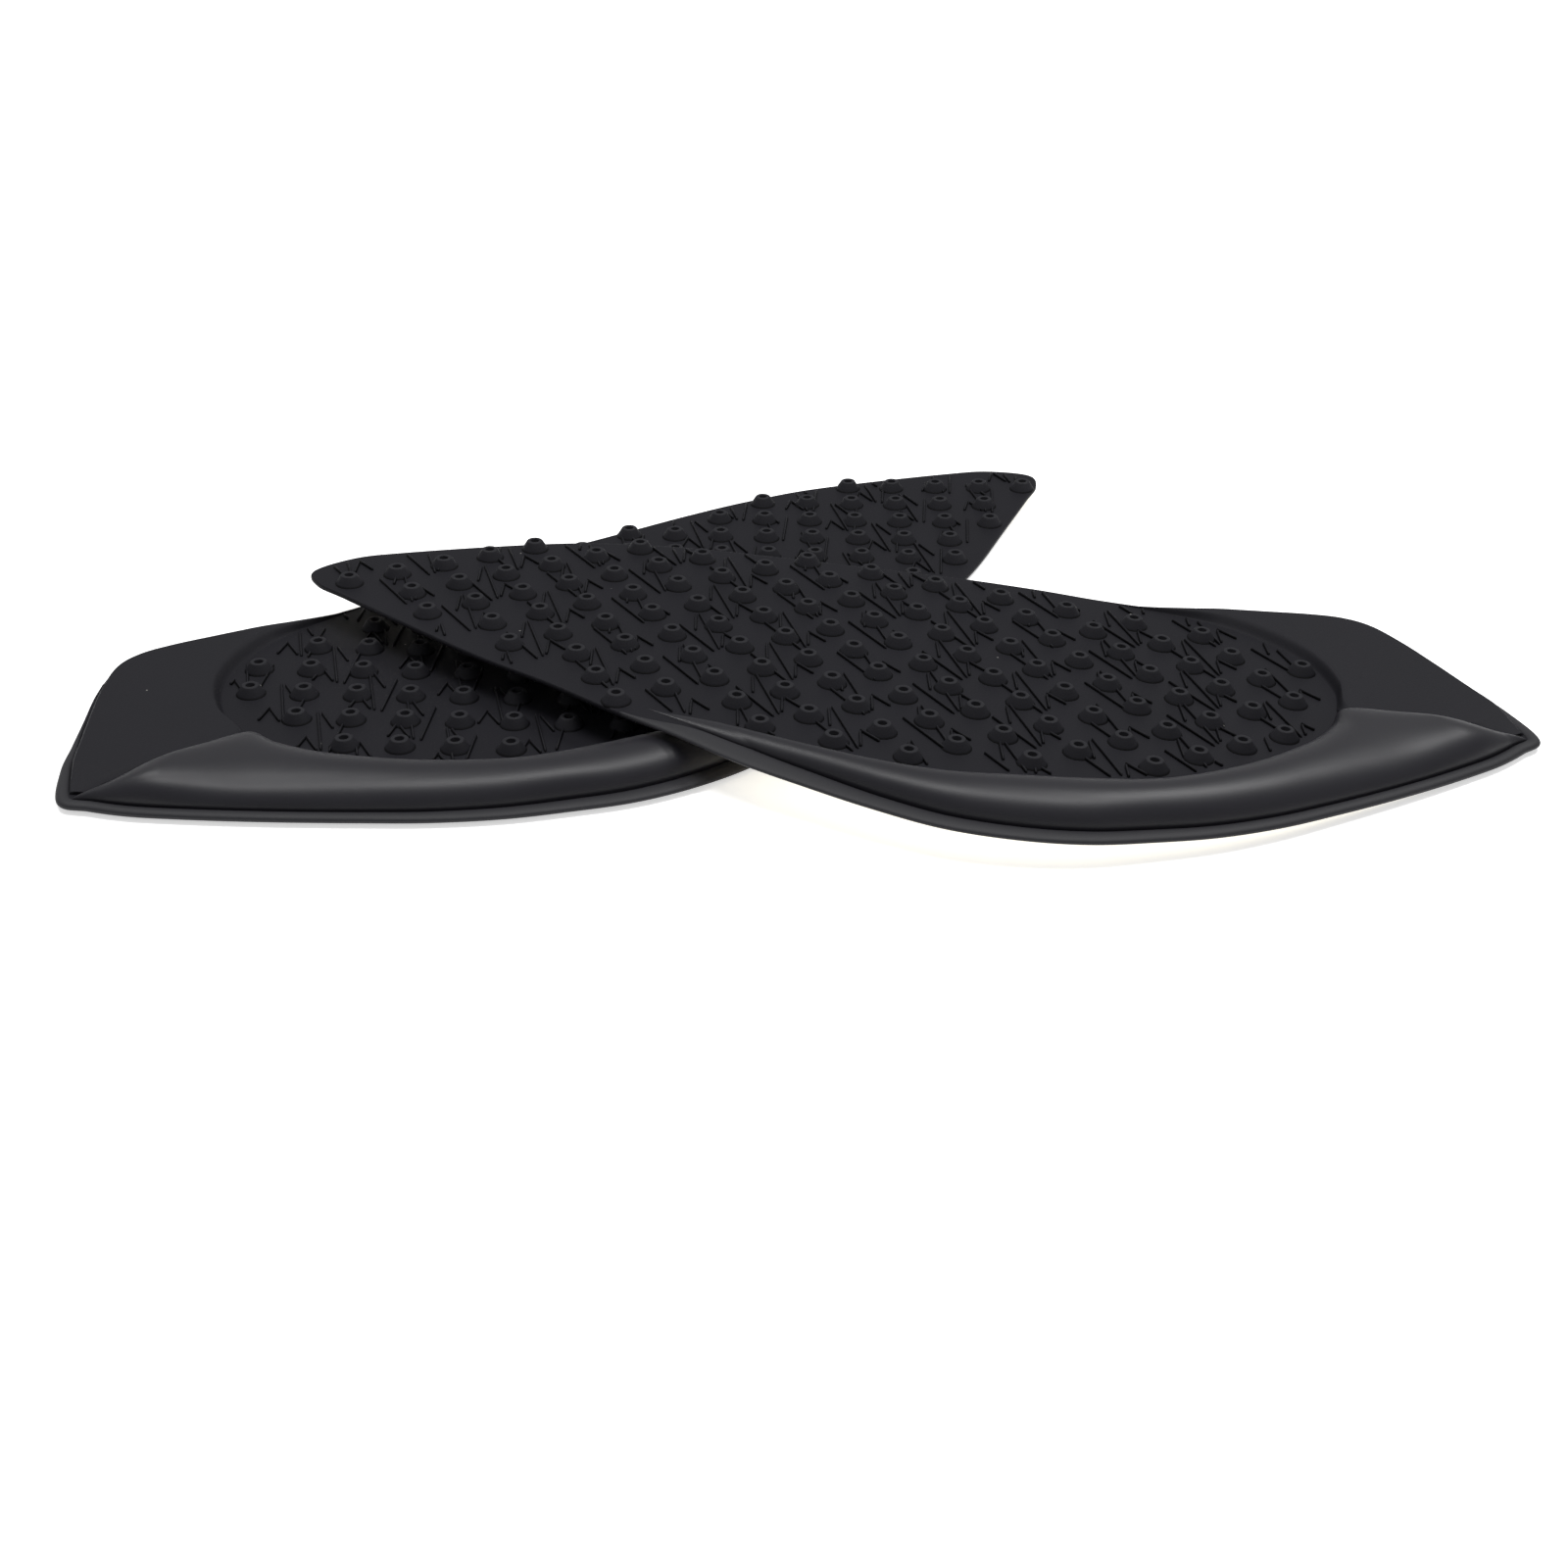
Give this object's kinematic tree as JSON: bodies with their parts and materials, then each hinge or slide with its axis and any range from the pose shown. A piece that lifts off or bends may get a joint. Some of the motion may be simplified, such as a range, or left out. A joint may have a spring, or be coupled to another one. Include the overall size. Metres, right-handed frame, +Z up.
{
  "type": "tank grip pads",
  "caption": "Mirror-image studded rubber side grips for a motorcycle tank, lying crossed, each with a padded knee roll, head panel, adhesive back and peel-off liner.",
  "frame": {"origin": "centre of the pair's footprint, on the surface that the lower pad lies on", "axes": "+X to the right along the pair's length towards the upper pad's head, +Y away from the knee rolls, +Z up out of the grip faces"},
  "size_m": [0.3198, 0.2063, 0.0132],
  "materials": {
    "grip_rubber": "matte, fine mould grain",
    "roll_rubber": "satin, smooth",
    "adhesive": "matte acrylic film",
    "liner": "siliconised kraft paper, low sheen"
  },
  "bodies": {
    "lower_liner": {"lower_release_liner": "liner"},
    "lower_pad": {"lower_adhesive_film": "adhesive", "lower_base_sheet": "grip_rubber", "lower_edge_bead": "roll_rubber", "lower_knee_roll": "roll_rubber", "lower_head_panel": "grip_rubber", "lower_grip_studs": "grip_rubber", "lower_zigzag_ribs": "grip_rubber"},
    "upper_liner": {"upper_release_liner": "liner"},
    "upper_pad": {"upper_adhesive_film": "adhesive", "upper_base_sheet": "grip_rubber", "upper_edge_bead": "roll_rubber", "upper_knee_roll": "roll_rubber", "upper_head_panel": "grip_rubber", "upper_grip_studs": "grip_rubber", "upper_zigzag_ribs": "grip_rubber"}
  },
  "joints": [
    {"name": "peel_lower", "type": "slide", "parent": "lower_liner", "child": "lower_pad", "axis": [0, 0, 1], "range_m": [0, 0.06]},
    {"name": "lift_upper", "type": "slide", "parent": "lower_pad", "child": "upper_liner", "axis": [0, 0, 1], "range_m": [0, 0.1]},
    {"name": "peel_upper", "type": "slide", "parent": "upper_liner", "child": "upper_pad", "axis": [0, 0, 1], "range_m": [0, 0.06]}
  ]
}
